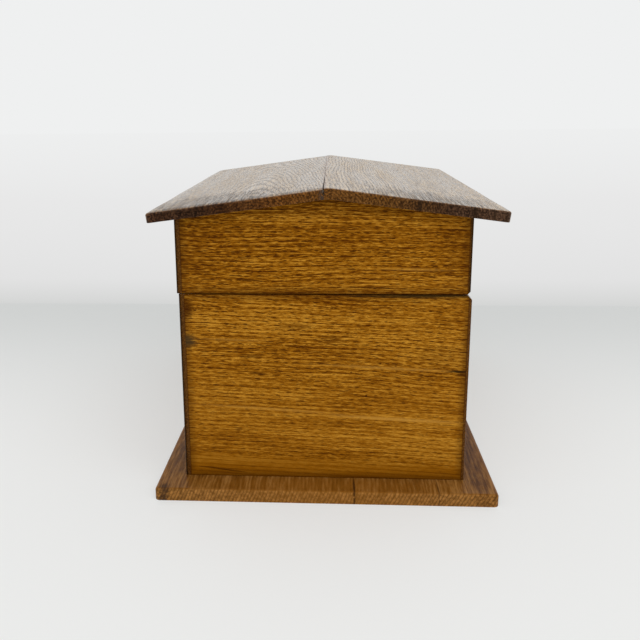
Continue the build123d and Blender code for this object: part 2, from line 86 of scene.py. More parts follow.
class NodeTable:
    """Lays out the nodes of one tree, each with its inputs linked or set."""

    def __init__(self, tree: Tree) -> None:
        """Start on a tree, which is emptied."""
        self.tree = tree
        tree.nodes.clear()

    def node(self, kind: str, feeds: Feeds = None, **settings: Any) -> bpy.types.Node:
        """Add a node.

        Args:
            kind: Blender's name of the node type, without the ShaderNode that most start with.
            feeds: Input name or number to the socket that feeds it, or its constant.
            settings: Attributes of the node.

        Returns:
            The node.
        """
        node = self.tree.nodes.new(kind if kind.startswith("NodeGroup") else f"ShaderNode{kind}")
        for name, value in settings.items():
            setattr(node, name, value)
        for key, feed in (feeds or {}).items():
            if isinstance(feed, Socket):
                self.tree.links.new(feed, node.inputs[key])
            else:
                node.inputs[key].default_value = feed
        return node

    def put(self, kind: str, feeds: Feeds = None, **settings: Any) -> Any:
        """Add a node, as node does, and hand back its outputs."""
        return self.node(kind, feeds, **settings).outputs

    def calc(self, operation: str, *feeds: Feed) -> Socket:
        """Arithmetic on numbers, by Blender's name of the operation."""
        return self.put("Math", dict(enumerate(feeds)), operation=operation)[0]

    def times(self, *feeds: Feed) -> Socket:
        """Product of two numbers, with the third added where there is one."""
        return self.calc("MULTIPLY_ADD" if len(feeds) > 2 else "MULTIPLY", *feeds)

    def less(self, first: Feed, second: Feed) -> Socket:
        """The first number less the second."""
        return self.calc("SUBTRACT", first, second)

    def vec(self, operation: str, *feeds: Feed) -> Socket:
        """Arithmetic on vectors. A length comes out as a number."""
        outputs = self.put("VectorMath", dict(enumerate(feeds)), operation=operation)
        return outputs["Value" if operation == "LENGTH" else "Vector"]

    def split(self, vector: Socket) -> Any:
        """The parts X, Y and Z of a vector."""
        return self.put("SeparateXYZ", {0: vector})

    def join(self, *parts: Feed) -> Socket:
        """Vector of three parts."""
        return self.put("CombineXYZ", dict(enumerate(parts)))[0]

    def fade(self, value: Feed, start: Feed, end: Feed, low: Feed = 0, high: Feed = 1) -> Socket:
        """Smooth step of value, from low at start to high at end."""
        feeds = {"Value": value, "From Min": start, "From Max": end, "To Min": low, "To Max": high}
        return self.put("MapRange", feeds, interpolation_type="SMOOTHSTEP")[0]

    def blend(self, factor: Feed, first: Feed, second: Feed, mode: str = "MIX") -> Socket:
        """Mix of two colours."""
        feeds = {0: factor, 6: first, 7: second}
        return self.put("Mix", feeds, data_type="RGBA", blend_type=mode)[2]

    def cloud(self, vector: Feed, scale: Any, detail: float = 2.0, rough: float = 0.5) -> Any:
        """Noise with one scale or one for each axis, as a number (0) and a colour (1)."""
        if isinstance(scale, tuple):
            vector, scale = self.vec("MULTIPLY", vector, scale), 1.0
        feeds = {"Vector": vector, "Scale": scale, "Detail": detail, "Roughness": rough}
        return self.put("TexNoise", feeds)

    def bump(self, strength: float, distance: float, height: Feed) -> Socket:
        """Normal of a surface with this relief."""
        return self.put("Bump", {"Strength": strength, "Distance": distance, "Height": height})[0]

    def ramp(self, value: Feed, stops: Stops) -> Socket:
        """Colour by value.

        Args:
            value: Number from 0 to 1.
            stops: Places from 0 to 1, each with its colour.

        Returns:
            The colour.
        """
        node = self.node("ValToRGB", {0: value})
        points = node.color_ramp.elements
        while len(points) < len(stops):
            points.new(0.5)
        while len(points) > len(stops):
            points.remove(points[-1])
        for point, (place, colour) in zip(points, stops):
            point.position = place
            point.color = colour
        return node.outputs[0]


def new_material(name: str) -> Material:
    """A material with nodes.

    Args:
        name: Name of the material.

    Returns:
        The material.
    """
    material = bpy.data.materials.new(name)
    material.use_nodes = True
    return material


def finish_material(table: NodeTable, feeds: dict[str, Feed]) -> None:
    """Put the surface shader, with these inputs, at the end of a material's tree."""
    table.put("OutputMaterial", {"Surface": table.put("BsdfPrincipled", feeds)[0]})


def dress(node: str, material: Material) -> None:
    """Give a node of the frame its material.

    Args:
        node: Name of the node.
        material: The material.
    """
    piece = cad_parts[node]
    if not piece.material_slots:
        piece.data.materials.append(material)
    for slot in piece.material_slots:
        slot.material = material
    log.info("%s wears %s", node, material.name)


def link(name: str, data: Any) -> Piece:
    """Put a new object into the scene.

    Args:
        name: Name of the object.
        data: Its mesh, camera or light.

    Returns:
        The object.
    """
    piece = bpy.data.objects.new(name, data)
    bpy.context.scene.collection.objects.link(piece)
    return piece


def stand_in(piece: Piece, node: str, material: Material) -> None:
    """Dress a piece of the lid and put it in the place of a node.

    Args:
        piece: The piece.
        node: Name of the node that it replaces.
        material: The piece's material.
    """
    piece.data.materials.append(material)
    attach(piece, "lid")
    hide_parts(node)
    log.info("%s has %d points", piece.name, len(piece.data.vertices))


def surface(name: str, points: Array) -> Piece:
    """Closed mesh of rings that shrink to a point at both ends.

    Args:
        name: Name of the piece.
        points: Rings by places round by three. The first and last ring each lie on one point.

    Returns:
        The piece, smooth, with its faces outwards.
    """
    rings, round_ = points.shape[:2]
    inner = points[1:-1].reshape(-1, 3)
    vertices = np.concatenate([inner, points[0].mean(0)[None], points[-1].mean(0)[None]])
    grid = np.arange(len(inner)).reshape(rings - 2, round_)
    after = np.roll(grid, -1, axis=1)
    quads = np.stack([grid[:-1], after[:-1], after[1:], grid[1:]], axis=-1).reshape(-1, 4)
    first = np.stack([np.full(round_, len(inner)), after[0], grid[0]], axis=-1)
    last = np.stack([np.full(round_, len(inner) + 1), grid[-1], after[-1]], axis=-1)
    mesh = bpy.data.meshes.new(name)
    mesh.from_pydata(vertices.tolist(), [], quads.tolist() + first.tolist() + last.tolist())
    mesh.polygons.foreach_set("use_smooth", np.ones(len(mesh.polygons), dtype=bool))
    return link(name, mesh)


def seed_distance(places: Array, seed: int) -> Array:
    """Distance to the nearest seed of a lattice whose cells each hold one seed, set at random.

    Args:
        places: Points in units of a cell, any shape by three.
        seed: Number that the random places start from.

    Returns:
        The distances in units of a cell.
    """
    jitter = np.random.default_rng(seed).random((LATTICE, LATTICE, LATTICE, 3))
    corner = np.floor(places).astype(int)
    nearest = np.full(places.shape[:-1], 2.0)
    for step in product((-1, 0, 1), repeat=3):
        cell = corner + step
        turned = cell % LATTICE
        spot = cell + jitter[turned[..., 0], turned[..., 1], turned[..., 2]]
        nearest = np.minimum(nearest, np.linalg.norm(places - spot, axis=-1))
    return nearest


def spread(length: float, fine: float, coarse: float, border: float = 0.006) -> Array:
    """Places along a run, close together near both ends and wider apart between.

    The gap is fine within the border, and past it grows by a sixth of the way gone, up to coarse.

    Args:
        length: Length of the run.
        fine: Gap at its ends.
        coarse: Widest gap.
        border: Length of the fine part at each end.

    Returns:
        Distances from the start, from 0 to the length.
    """
    way = np.linspace(0.0, length, SPREAD_SAMPLES)
    near = np.minimum(way, length - way)
    gap = np.clip(fine + (near - border) / SPREAD_WAY, fine, coarse)
    count = np.concatenate([[0.0], np.cumsum(np.diff(way) / gap[1:])])
    return np.interp(np.linspace(0.0, count[-1], int(np.ceil(count[-1])) + 1), count, way)


def rubbed(first: Array, second: Array, radius: Any) -> tuple[Array, Array]:
    """Round the arris between two faces.

    Seen from a point at the radius from both faces, squares become circles: a place keeps its
    direction, and its distance becomes the larger of its two parts.

    Args:
        first: Distance of each point from one face, inwards.
        second: Distance from the other face.
        radius: Radius, one or one for each point.

    Returns:
        The two new distances.
    """
    one, two = np.maximum(radius - first, 0.0), np.maximum(radius - second, 0.0)
    far = np.hypot(one, two)
    share = np.where(far > 0, 1 - np.maximum(one, two) / np.where(far > 0, far, 1.0), 0.0)
    return first + one * share, second + two * share


class Grain(Enum):
    """Axes of a board: along the grain, across its face, and through it."""

    ENDS = ("Y", "Z", "X")
    WALLS = ("X", "Z", "Y")
    FLAT = ("X", "Y", "Z")


# Most patches are stains; some are painted shade and one is a painted reflection, as the tables
# below mark.
@dataclass(frozen=True)
class Patch:
    """A patch on a board's face, dark unless it has its own colour.

    It rises by slope along the board. A glaze multiplies the colour under it, so the grain shows.
    """

    along: float
    across: float
    reach_along: float
    reach_across: float
    strength: float = 0.6
    colour: Colour | None = None
    slope: float = 0.0
    glaze: bool = False


@dataclass(frozen=True)
class Cut:
    """How one board was sawn from its tree.

    The pith is where the tree's middle lies, across and through, in the board's own axes. The
    grain falls by tilt for each unit along, and by lean through the board, which makes arches.
    Tone makes the board lighter or darker. Each calm is two places across and a strength: the
    figure has that strength before the first and is full past the second. Fineness is how short
    and how thin the streaks are. Rim is the place, through the board, of an outer face along
    which the end grain is black with dirt, and end_tone makes all the end grain lighter or darker.
    """

    grain: Grain
    pith: Pair
    seed: float
    tilt: float = 0.0
    lean: float = 0.0
    wave: float = 0.004
    ring: float = 0.003
    tone: float = 0.0
    patches: tuple[Patch, ...] = ()
    calms: tuple[Triple, ...] = ()
    fineness: Pair = (1.0, 1.0)
    rim: float | None = None
    end_tone: float = 1.0


@dataclass(frozen=True)
class GrainPattern:
    """The solid pattern of ring-porous wood, shared by all boards as one node group.

    Rings are cylinders round the pith, bent by two sizes of noise. A ring starts with early wood,
    which sets in over early_start of the ring and fades until early_end. Pores are long drops, the
    cells of a stretched Voronoi pattern, and are wider in the early wood. Streaks are short dashes
    and long lines of stretched noise, and clouds are broad noise.
    """

    bend_scale: Triple = (8.0, 20.0, 20.0)
    quiver_scale: Triple = (42.0, 150.0, 150.0)
    quiver: float = 0.0009
    pore_scale: Triple = (180.0, 900.0, 900.0)
    fine_pore_scale: Triple = (420.0, 1600.0, 1600.0)
    pore_small: float = 0.26
    pore_grow: float = 0.22
    pore_edge: float = 0.16
    dash_scale: Triple = (190.0, 1500.0, 1500.0)
    line_scale: Triple = (14.0, 1250.0, 1250.0)
    dash_share: float = 0.6
    cloud_scale: Triple = (6.5, 75.0, 75.0)
    early_start: float = 0.1
    early_end: float = 0.62
    fine_pore_share: float = 0.6

    def build(self) -> Tree:
        """Make the node group.

        Returns:
            The group, with the outputs Early, Pore, Streak and Cloud from 0 to 1.
        """
        group = bpy.data.node_groups.new("ring_porous_wood", "ShaderNodeTree")
        face = group.interface
        for name in ("Place", "Pith", "Fineness"):
            face.new_socket(name=name, in_out="INPUT", socket_type="NodeSocketVector")
        for name in ("Ring", "Wave"):
            face.new_socket(name=name, in_out="INPUT", socket_type="NodeSocketFloat")
        for name in ("Early", "Pore", "Streak", "Cloud"):
            face.new_socket(name=name, in_out="OUTPUT", socket_type="NodeSocketFloat")
        table = NodeTable(group)
        given = table.put("NodeGroupInput")
        bent = self._bent(table, given)
        spoke = table.vec("MULTIPLY", table.vec("SUBTRACT", bent, given["Pith"]), (0.0, 1.0, 1.0))
        count = table.calc("DIVIDE", table.vec("LENGTH", spoke), given["Ring"])
        phase = table.calc("FRACT", count)
        rise = table.fade(phase, 0.0, self.early_start)
        early = table.times(rise, table.fade(phase, self.early_start, self.early_end, 1.0, 0.0))
        width = table.times(early, self.pore_grow, self.pore_small)
        inner = table.less(width, self.pore_edge)
        drops = []
        for scale in (self.pore_scale, self.fine_pore_scale):
            feeds = {"Vector": table.vec("MULTIPLY", bent, scale), "Scale": 1.0}
            drops.append(table.fade(table.put("TexVoronoi", feeds)["Distance"], width, inner))
        pore = table.calc("MAXIMUM", drops[0], table.times(drops[1], self.fine_pore_share))
        narrow = table.vec("MULTIPLY", bent, given["Fineness"])
        dash = table.cloud(narrow, self.dash_scale, 2.0, 0.6)[0]
        line = table.cloud(narrow, self.line_scale, 2.0, 0.5)[0]
        long = table.times(line, 1.0 - self.dash_share)
        streak = table.times(dash, self.dash_share, long)
        cloud = table.cloud(given["Place"], self.cloud_scale, 3.0, 0.55)[0]
        feeds = {"Early": early, "Pore": pore, "Streak": streak, "Cloud": cloud}
        table.put("NodeGroupOutput", feeds)
        return group

    def _bent(self, table: NodeTable, given: Any) -> Socket:
        """The place after both noises have pushed it across the grain.

        Args:
            table: Table of the group.
            given: What goes into the group.

        Returns:
            The place.
        """
        place = given["Place"]
        half = (0.5, 0.5, 0.5)
        broad = table.cloud(place, self.bend_scale, 1.5)[1]
        fine = table.cloud(place, self.quiver_scale)[1]
        push = table.vec("SUBTRACT", broad, half)
        push = table.vec("MULTIPLY", push, table.join(0.0, given["Wave"], given["Wave"]))
        shake = table.vec("SUBTRACT", fine, half)
        shake = table.vec("MULTIPLY", shake, (0.0, self.quiver, self.quiver))
        return table.vec("ADD", table.vec("ADD", place, push), shake)


class BoardTable(NodeTable):
    """Node table of one board's material, with its places and its grain.

    Along, across and through are the board's own axes. Fallen is across with the grain's tilt
    taken off, and local is the place in the leaning grain. Facing is 1 on an end, and near is the
    distance to the nearest edge of the board's face.
    """

    def __init__(self, tree: Tree, node: str, cut: Cut, grain: Tree) -> None:
        """Lay the places and the grain.

        Args:
            tree: The material's tree.
            node: Name of the board's node.
            cut: How it was sawn.
            grain: The node group of the grain.
        """
        super().__init__(tree)
        self.cut = cut
        texture = self.put("TexCoord")
        split = self.split(texture["Object"])
        self.along, self.across, self.through = (split[axis] for axis in cut.grain.value)
        self.facing = self.calc("ABSOLUTE", self.split(texture["Normal"])[cut.grain.value[0]])
        self.near = self._near(node)
        self.fallen = self.times(self.along, cut.tilt, self.across)
        deep = self.times(self.along, cut.lean, self.through)
        self.local = self.join(self.along, self.fallen, deep)
        place = self.vec("ADD", self.local, (cut.seed, 0.0, 0.0))
        short, thin = cut.fineness
        feeds = {"Place": place, "Pith": (0.0, *cut.pith), "Ring": cut.ring, "Wave": cut.wave,
                 "Fineness": (short, thin, thin)}
        wood = self.put("Group", feeds, node_tree=grain)
        self.early, self.pore, self.streak, self.clouds = wood

    def _near(self, node: str) -> Socket:
        """Distance to the nearest edge: half of each size less the way from the middle.

        Args:
            node: Name of the board's node.

        Returns:
            The smaller of the distances along and across.
        """
        gaps = []
        for socket, axis in zip((self.along, self.across), self.cut.grain.value):
            low, high = (corner["XYZ".index(axis)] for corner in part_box(node))
            away = self.calc("ABSOLUTE", self.less(socket, (low + high) / 2))
            gaps.append(self.less((high - low) / 2, away))
        return self.calc("MINIMUM", *gaps)


@dataclass(frozen=True)
class WoodFinish:
    """A varnished, worn wood, laid on each board by the way the board was sawn.

    The tone of the wood goes from 0, dark, to 1, light. Streaks swing it both ways by streak_swing,
    clouds by cloud_swing, and tone_balance is what they add on average. A range is a pair of values
    between which something sets in: of the facing for end grain, of the streaks for its specks, of
    the distance for a joint line, a dirty rim, an edge (in edge reaches) or a patch (in its own),
    of the noise for strokes. Ragged is how far the streaks shift such a border.
    """

    name: str
    light: Colour
    middle: Colour
    dark: Colour
    pore: Colour
    end: Stops
    edge: Colour
    end_cover: float = 0.75
    end_half: float = 0.12
    edge_reach: float = 0.007
    edge_range: Pair = (0.6, -0.5)
    edge_strength: float = 0.5
    joint_strength: float = 0.92
    contrast: float = 1.0
    pore_strength: float = 0.85
    roughness: Pair = (0.3, 0.5)
    specular: float = 0.5
    gloss: Colour = (1.0, 1.0, 1.0, 1.0)
    bump: float = 0.35
    end_rings: float = 0.6
    end_specks: Pair = (0.55, 1.4)
    ring_strength: float = 0.16
    sunk: float = 0.0
    strokes: float = 0.0
    stroke_fineness: Triple = (14.0, 1600.0, 0.0)
    sheen: float = 0.0
    sheen_tint: Colour = (1.0, 1.0, 1.0, 1.0)
    sheen_roughness: float = 0.35
    streak_swing: float = 0.85
    cloud_swing: float = 0.9
    tone_balance: float = 0.36
    end_range: Pair = (0.45, 0.8)
    speck_range: Pair = (0.36, 0.64)
    joint_range: Pair = (0.0009, 0.0002)
    joint_dark: float = 0.75
    rim_ragged: float = 0.0022
    rim_range: Pair = (0.0016, 0.0034)
    rim_tones: Pair = (0.3, 1.5)
    patch_ragged: float = 1.6
    patch_range: Pair = (1.9, 1.0)
    stroke_range: Pair = (0.45, 0.52)
    stroke_facing: Pair = (0.3, 0.6)
    dull_range: Pair = (0.3, 1.0)
    dull_pores: float = 0.5
    dull_under_patches: float = 0.2
    dull_strokes: float = 0.45
    pore_depth: float = 0.7
    relief: float = 0.0004

    def clad(self, boards: dict[str, Cut], grain: Tree) -> None:
        """Dress boards of the frame, given by their nodes' names."""
        for node, cut in boards.items():
            dress(node, self.make(node, cut, grain))

    def make(self, node: str, cut: Cut, grain: Tree) -> Material:
        """Make the material of one board.

        Args:
            node: Name of the board's node.
            cut: How it was sawn.
            grain: The node group of the grain.

        Returns:
            The material.
        """
        material = new_material(f"{self.name}_{node}")
        board = BoardTable(material.node_tree, node, cut, grain)
        colour = self._edges(board, self._wood_colour(board))
        colour = self._end_grain(board, colour)
        colour, dirt_and_painted_light, worn = self._patches(board, colour)
        strokes = 0.0
        if self.strokes:
            strokes = self._strokes(board, worn)
            colour = board.blend(strokes, colour, self.pore)
        finish_material(board, {
            "Base Color": colour,
            "Roughness": self._roughness(board, dirt_and_painted_light, strokes),
            "Specular IOR Level": self.specular,
            "Specular Tint": self.gloss,
            "Sheen Weight": self.sheen,
            "Sheen Roughness": self.sheen_roughness,
            "Sheen Tint": self.sheen_tint,
            "Normal": self._relief(board),
        })
        return material

    def _wood_colour(self, board: BoardTable) -> Socket:
        """Colour from streaks, rings and clouds, with the pores on top.

        Args:
            board: Table of the board.

        Returns:
            The colour.
        """
        quiet = 1.0
        for low, high, strength in board.cut.calms:
            quiet = board.times(quiet, board.fade(board.fallen, low, high, strength, 1.0))
        reach = self.streak_swing * self.contrast
        swing = board.times(board.streak, 2 * reach, -reach)
        tone = board.times(swing, quiet, 0.5 + board.cut.tone)
        tone = board.times(board.early, -self.ring_strength, tone)
        tone = board.times(board.clouds, self.cloud_swing, tone)
        tone = board.less(tone, self.tone_balance)
        colour = board.ramp(tone, ((0.0, self.dark), (0.5, self.middle), (1.0, self.light)))
        strength = board.times(quiet, self.pore_strength)
        return board.blend(board.times(board.pore, strength), colour, self.pore)

    def _edges(self, board: BoardTable, colour: Socket) -> Socket:
        """Dirt or wear towards the board's edges: a broad soft band and a narrow joint line.

        Args:
            board: Table of the board.
            colour: The colour under it.

        Returns:
            The colour with both.
        """
        ragged = board.times(board.streak, -self.edge_reach, board.near)
        start, end = (self.edge_reach * share for share in self.edge_range)
        broad = board.fade(ragged, start, end, 0.0, self.edge_strength)
        narrow = board.fade(board.near, *self.joint_range, 0.0, self.joint_strength)
        colour = board.blend(broad, colour, self.edge)
        return board.blend(narrow, colour, board.blend(self.joint_dark, colour, self.pore))

    def _end_grain(self, board: BoardTable, colour: Socket) -> Socket:
        """End grain has its own colours from edge to edge, and is dark in the early wood.

        Near the cut's rim it is black with dirt, with a ragged border.

        Args:
            board: Table of the board.
            colour: The colour of the other faces.

        Returns:
            The colour with the end grain.
        """
        rim = board.cut.end_tone
        if board.cut.rim is not None:
            away = board.calc("ABSOLUTE", board.less(board.through, board.cut.rim))
            ragged = board.times(board.streak, self.rim_ragged, away)
            black, clean = self.rim_tones
            rim = board.fade(ragged, *self.rim_range, black, clean * board.cut.end_tone)
        place = board.times(board.across, 0.5 / self.end_half, 0.5)
        stained = board.blend(self.end_cover, colour, board.ramp(place, self.end))
        speck = board.fade(board.streak, *self.speck_range, *self.end_specks)
        stained = board.vec("MULTIPLY", stained, board.times(speck, rim))
        ringed = board.blend(board.times(board.early, self.end_rings), stained, self.pore)
        return board.blend(board.fade(board.facing, *self.end_range), colour, ringed)

    def _patches(self, board: BoardTable, colour: Socket) -> tuple[Socket, Feed, Feed]:
        """Patches with ragged borders: ellipses, whose distance the streaks add to. They are
        stains, painted shade and a painted reflection.

        Args:
            board: Table of the board.
            colour: The colour under them.

        Returns:
            The colour with them, how much dirt, painted shade and painted reflection lies on each
            point, and how much glaze.
        """
        dirt_and_painted_light, worn = 0.0, 0.0
        for patch in board.cut.patches:
            along = board.less(board.along, patch.along)
            across = board.times(along, -patch.slope, board.less(board.across, patch.across))
            first = board.calc("DIVIDE", along, patch.reach_along)
            second = board.calc("DIVIDE", across, patch.reach_across)
            away = board.vec("LENGTH", board.join(first, second, 0.0))
            away = board.times(board.streak, self.patch_ragged, away)
            mask = board.fade(away, *self.patch_range, 0.0, patch.strength)
            mode = "MULTIPLY" if patch.glaze else "MIX"
            colour = board.blend(mask, colour, patch.colour or self.pore, mode)
            if patch.glaze:
                worn = board.calc("MAXIMUM", worn, mask)
            else:
                dirt_and_painted_light = board.calc("MAXIMUM", dirt_and_painted_light, mask)
        return colour, dirt_and_painted_light, worn

    def _strokes(self, board: BoardTable, worn: Feed) -> Socket:
        """Long thin strokes of dirt in the open grain, where the varnish is worn off.

        Args:
            board: Table of the board.
            worn: How much glaze lies on each point.

        Returns:
            Their strength from 0 to 1, none on the ends.
        """
        stretched = board.cloud(board.local, self.stroke_fineness)[0]
        gaps = board.fade(stretched, *self.stroke_range, self.strokes, 0.0)
        flat = board.fade(board.facing, *self.stroke_facing, 1.0, 0.0)
        return board.times(board.times(worn, gaps), flat)

    def _roughness(self, board: BoardTable, dirt_and_painted_light: Feed, strokes: Feed) -> Socket:
        """Varnish, duller in the pores, under dirt, painted shade and painted reflection, in
        strokes and by clouds.

        Args:
            board: Table of the board.
            dirt_and_painted_light: How much dirt, painted shade and painted reflection lies on each
                point.
            strokes: Strength of the strokes.

        Returns:
            The roughness.
        """
        dull = board.times(board.pore, self.dull_pores, board.clouds)
        clean = board.fade(dull, *self.dull_range, *self.roughness)
        rough = board.times(dirt_and_painted_light, self.dull_under_patches, clean)
        return board.times(strokes, self.dull_strokes, rough)

    def _relief(self, board: BoardTable) -> Socket:
        """Normal with open pores, sunk early wood and raised streaks."""
        height = board.times(board.pore, -self.pore_depth, board.streak)
        height = board.times(board.early, -self.sunk, height)
        return board.bump(self.bump, self.relief, height)


@dataclass(frozen=True)
class MetalFinish:
    """Aged brass: clean metal with brown tarnish in clouds and rubbed places."""

    name: str
    clean: Colour
    tarnish: Colour
    share: float = 0.5
    roughness: Pair = (0.28, 0.55)
    clouds: Triple = (140.0, 5.0, 0.65)
    brushed: Triple = (300.0, 2400.0, 2400.0)
    brushed_share: float = 0.25
    tarnish_range: Pair = (0.55, 0.95)
    bump: float = 0.15
    relief: float = 0.0002

    def build(self) -> Material:
        """Make the material.

        Returns:
            The material.
        """
        material = new_material(self.name)
        table = NodeTable(material.node_tree)
        place = table.put("TexCoord")["Object"]
        clouds = table.cloud(place, *self.clouds)[0]
        grain = table.cloud(place, self.brushed)[0]
        amount = table.times(grain, self.brushed_share, clouds)
        start, end = self.tarnish_range
        mask = table.fade(amount, start - self.share / 2, end)
        normal = table.bump(self.bump, self.relief, grain)
        finish_material(table, {
            "Base Color": table.blend(mask, self.clean, self.tarnish),
            "Metallic": 1.0,
            "Roughness": table.fade(mask, 0.0, 1.0, *self.roughness),
            "Normal": normal,
        })
        return material


@dataclass(frozen=True)
class SpongeFinish:
    """Dry cellulose sponge with holes of two sizes, each with its scale and its range of depth,
    painted darker in the holes as shade.
    """

    name: str = "dry_sponge"
    skin: Colour = paint(214, 188, 128)
    # Painted shade: the holes blend towards this darker colour by their depth.
    hollow_shade: Colour = paint(120, 92, 48)
    holes: tuple[Triple, ...] = ((420.0, 0.1, 0.45), (1300.0, 0.0, 0.4))
    roughness: float = 0.95
    specular: float = 0.2
    bump: float = 0.8
    relief: float = 0.001

    def build(self) -> Material:
        """Make the material.

        Returns:
            The material.
        """
        material = new_material(self.name)
        table = NodeTable(material.node_tree)
        place = table.put("TexCoord")["Object"]
        depths = []
        for scale, start, end in self.holes:
            cells = table.put("TexVoronoi", {"Vector": place, "Scale": scale})
            depths.append(table.fade(cells["Distance"], start, end))
        depth = table.times(*depths)
        normal = table.bump(self.bump, self.relief, depth)
        # The holes' darker colour is painted shade.
        finish_material(table, {
            "Base Color": table.blend(depth, self.hollow_shade, self.skin),
            "Roughness": self.roughness,
            "Specular IOR Level": self.specular,
            "Normal": normal,
        })
        return material


AMBER_OAK = WoodFinish(
    name="amber_oak", light=paint(191, 134, 42), middle=paint(142, 87, 9), dark=paint(80, 36, 1),
    pore=paint(58, 22, 1), end=((0.0, paint(66, 42, 18)),), edge=paint(60, 29, 4),
    edge_reach=0.006, contrast=2.3, roughness=(0.28, 0.5), specular=0.2,
    gloss=(0.6, 0.34, 0.08, 1.0), end_rings=0.3,
)
ROOF_OAK = WoodFinish(
    name="roof_oak", light=paint(172, 142, 98), middle=paint(124, 94, 58), dark=paint(82, 58, 34),
    pore=paint(42, 27, 15), end=(
        (0.0, paint(66, 42, 30)), (0.146, paint(50, 32, 24)), (0.258, paint(80, 46, 14)),
        (0.375, paint(98, 56, 10)), (0.667, paint(96, 60, 14)), (0.78, paint(80, 52, 26)),
        (0.846, paint(62, 42, 32)), (1.0, paint(72, 52, 42)),
    ),
    edge=paint(118, 72, 36), edge_reach=0.0025, edge_strength=0.6, joint_strength=0.0, contrast=2.8,
    roughness=(0.14, 0.32), specular=0.16, gloss=(0.4, 0.34, 0.26, 1.0), bump=0.55,
    ring_strength=0.4, sunk=0.25, sheen=0.25, sheen_tint=(1.0, 0.92, 0.8, 1.0), end_cover=0.85,
    end_rings=0.4, end_specks=(0.4, 1.5), strokes=1.0,
)
BASE_OAK = WoodFinish(
    name="base_oak", light=paint(152, 108, 54), middle=paint(118, 77, 29), dark=paint(80, 46, 12),
    pore=paint(56, 33, 14), end=((0.0, paint(150, 104, 52)),), edge=paint(130, 84, 36),
    edge_reach=0.004, joint_strength=0.0, contrast=1.8, pore_strength=0.2,
    roughness=(0.4, 0.5), specular=0.1, gloss=(0.5, 0.36, 0.2, 1.0), bump=0.2, ring_strength=0.2,
    end_rings=0.5, end_specks=(0.68, 1.28),
)
CEDAR = WoodFinish(
    name="cedar", light=paint(204, 156, 112), middle=paint(182, 130, 88), dark=paint(148, 96, 60),
    pore=paint(118, 62, 34), end=((0.0, paint(150, 94, 58)),), edge=paint(150, 92, 56),
    edge_reach=0.004, edge_strength=0.35, joint_strength=0.5, pore_strength=0.12,
    roughness=(0.55, 0.7), specular=0.3, bump=0.15,
)


PALE_LINE = paint(186, 134, 54)
END_GLAZE = paint(150, 130, 112)
END_PANEL_STAINS_AND_SHADE = (
    Patch(0.045, 0.0922, 0.065, 0.0013, 0.5, PALE_LINE, -0.045),
    Patch(0.048, 0.0547, 0.060, 0.0017, 0.75, PALE_LINE, -0.045),
    Patch(-0.065, 0.1120, 0.030, 0.0011, 0.35, PALE_LINE, -0.03),
    Patch(-0.038, 0.0610, 0.060, 0.0014, 0.42, PALE_LINE, -0.06),
    Patch(0.0920, 0.0902, 0.010, 0.0015, 0.95, paint(34, 20, 8)),
    Patch(0.0955, 0.0885, 0.006, 0.0022, 0.7),
    Patch(-0.0965, 0.1337, 0.0080, 0.0090, 0.8),
    Patch(-0.0960, 0.1109, 0.0085, 0.0065, 0.85, paint(60, 46, 26)),
    # Painted shadow: a dark line along the top edge, under the gap below the lid.
    Patch(0.065, 0.1439, 0.060, 0.0021, 0.9, paint(40, 28, 10)),
    Patch(0.078, 0.101, 0.022, 0.012, 0.22),
    Patch(0.098, 0.075, 0.006, 0.060, 0.2),
    Patch(-0.051, 0.100, 0.010, 0.002, 0.55),
    Patch(-0.020, 0.122, 0.016, 0.004, 0.35),
    Patch(0.004, 0.112, 0.014, 0.005, 0.35),
    Patch(-0.047, 0.0875, 0.009, 0.0013, 0.65, slope=-0.06),
    Patch(-0.003, 0.0955, 0.005, 0.0012, 0.6),
    Patch(-0.062, 0.0455, 0.004, 0.0020, 0.5),
    Patch(-0.072, 0.0138, 0.024, 0.0008, 0.8, slope=-0.13),
    *(Patch(across, up, 0.0010, reach, 0.95) for across, up, reach in (
        (0.038, 0.0955, 0.0009), (0.018, 0.0890, 0.0009), (0.0287, 0.0720, 0.0010))),
)
GABLE_STAINS_AND_SHADE = (
    # Painted shade in the two upper corners under the eaves, then a soft painted shade band along
    # the top under the ridge.
    Patch(-0.088, 0.172, 0.014, 0.035, 0.15),
    Patch(0.088, 0.172, 0.012, 0.035, 0.2),
    Patch(0.0, 0.201, 0.075, 0.005, 0.3),
    Patch(-0.052, 0.1543, 0.013, 0.0011, 0.65, slope=-0.05),
    Patch(-0.054, 0.1700, 0.008, 0.0013, 0.5),
    Patch(0.030, 0.1495, 0.022, 0.0010, 0.5, slope=-0.02),
    Patch(0.060, 0.1620, 0.030, 0.0012, 0.35, PALE_LINE, -0.02),
)
ROOF_FRONT_STAINS = (
    Patch(0.1762, -0.0022, 0.0014, 0.0026, 0.85, paint(66, 54, 46)),
    Patch(0.156, -0.080, 0.052, 0.066, 0.8, paint(186, 164, 140), glaze=True),
    Patch(0.0, -0.0012, 0.300, 0.0006, 0.75),
    Patch(0.1690, -0.062, 0.0055, 0.062, 0.6, paint(190, 160, 130), glaze=True),
    *(Patch(0.1762, across, 0.0014, reach, strength, END_GLAZE, glaze=True)
      for across, reach, strength in (
          (-0.1115, 0.0060, 0.5), (-0.0962, 0.0016, 0.6), (-0.0855, 0.0012, 0.55),
          (-0.0682, 0.0030, 0.5), (-0.0582, 0.0016, 0.5))),
)
ROOF_BACK_STAINS = (
    Patch(0.1762, 0.0609, 0.0016, 0.0022, 0.75),
    Patch(0.1762, 0.0960, 0.0018, 0.0040, 0.8),
    Patch(0.1762, 0.1087, 0.0016, 0.0020, 0.7),
    Patch(0.1765, 0.1165, 0.0025, 0.0022, 0.6),
    Patch(0.155, 0.066, 0.050, 0.058, 0.7, paint(190, 174, 156), glaze=True),
)
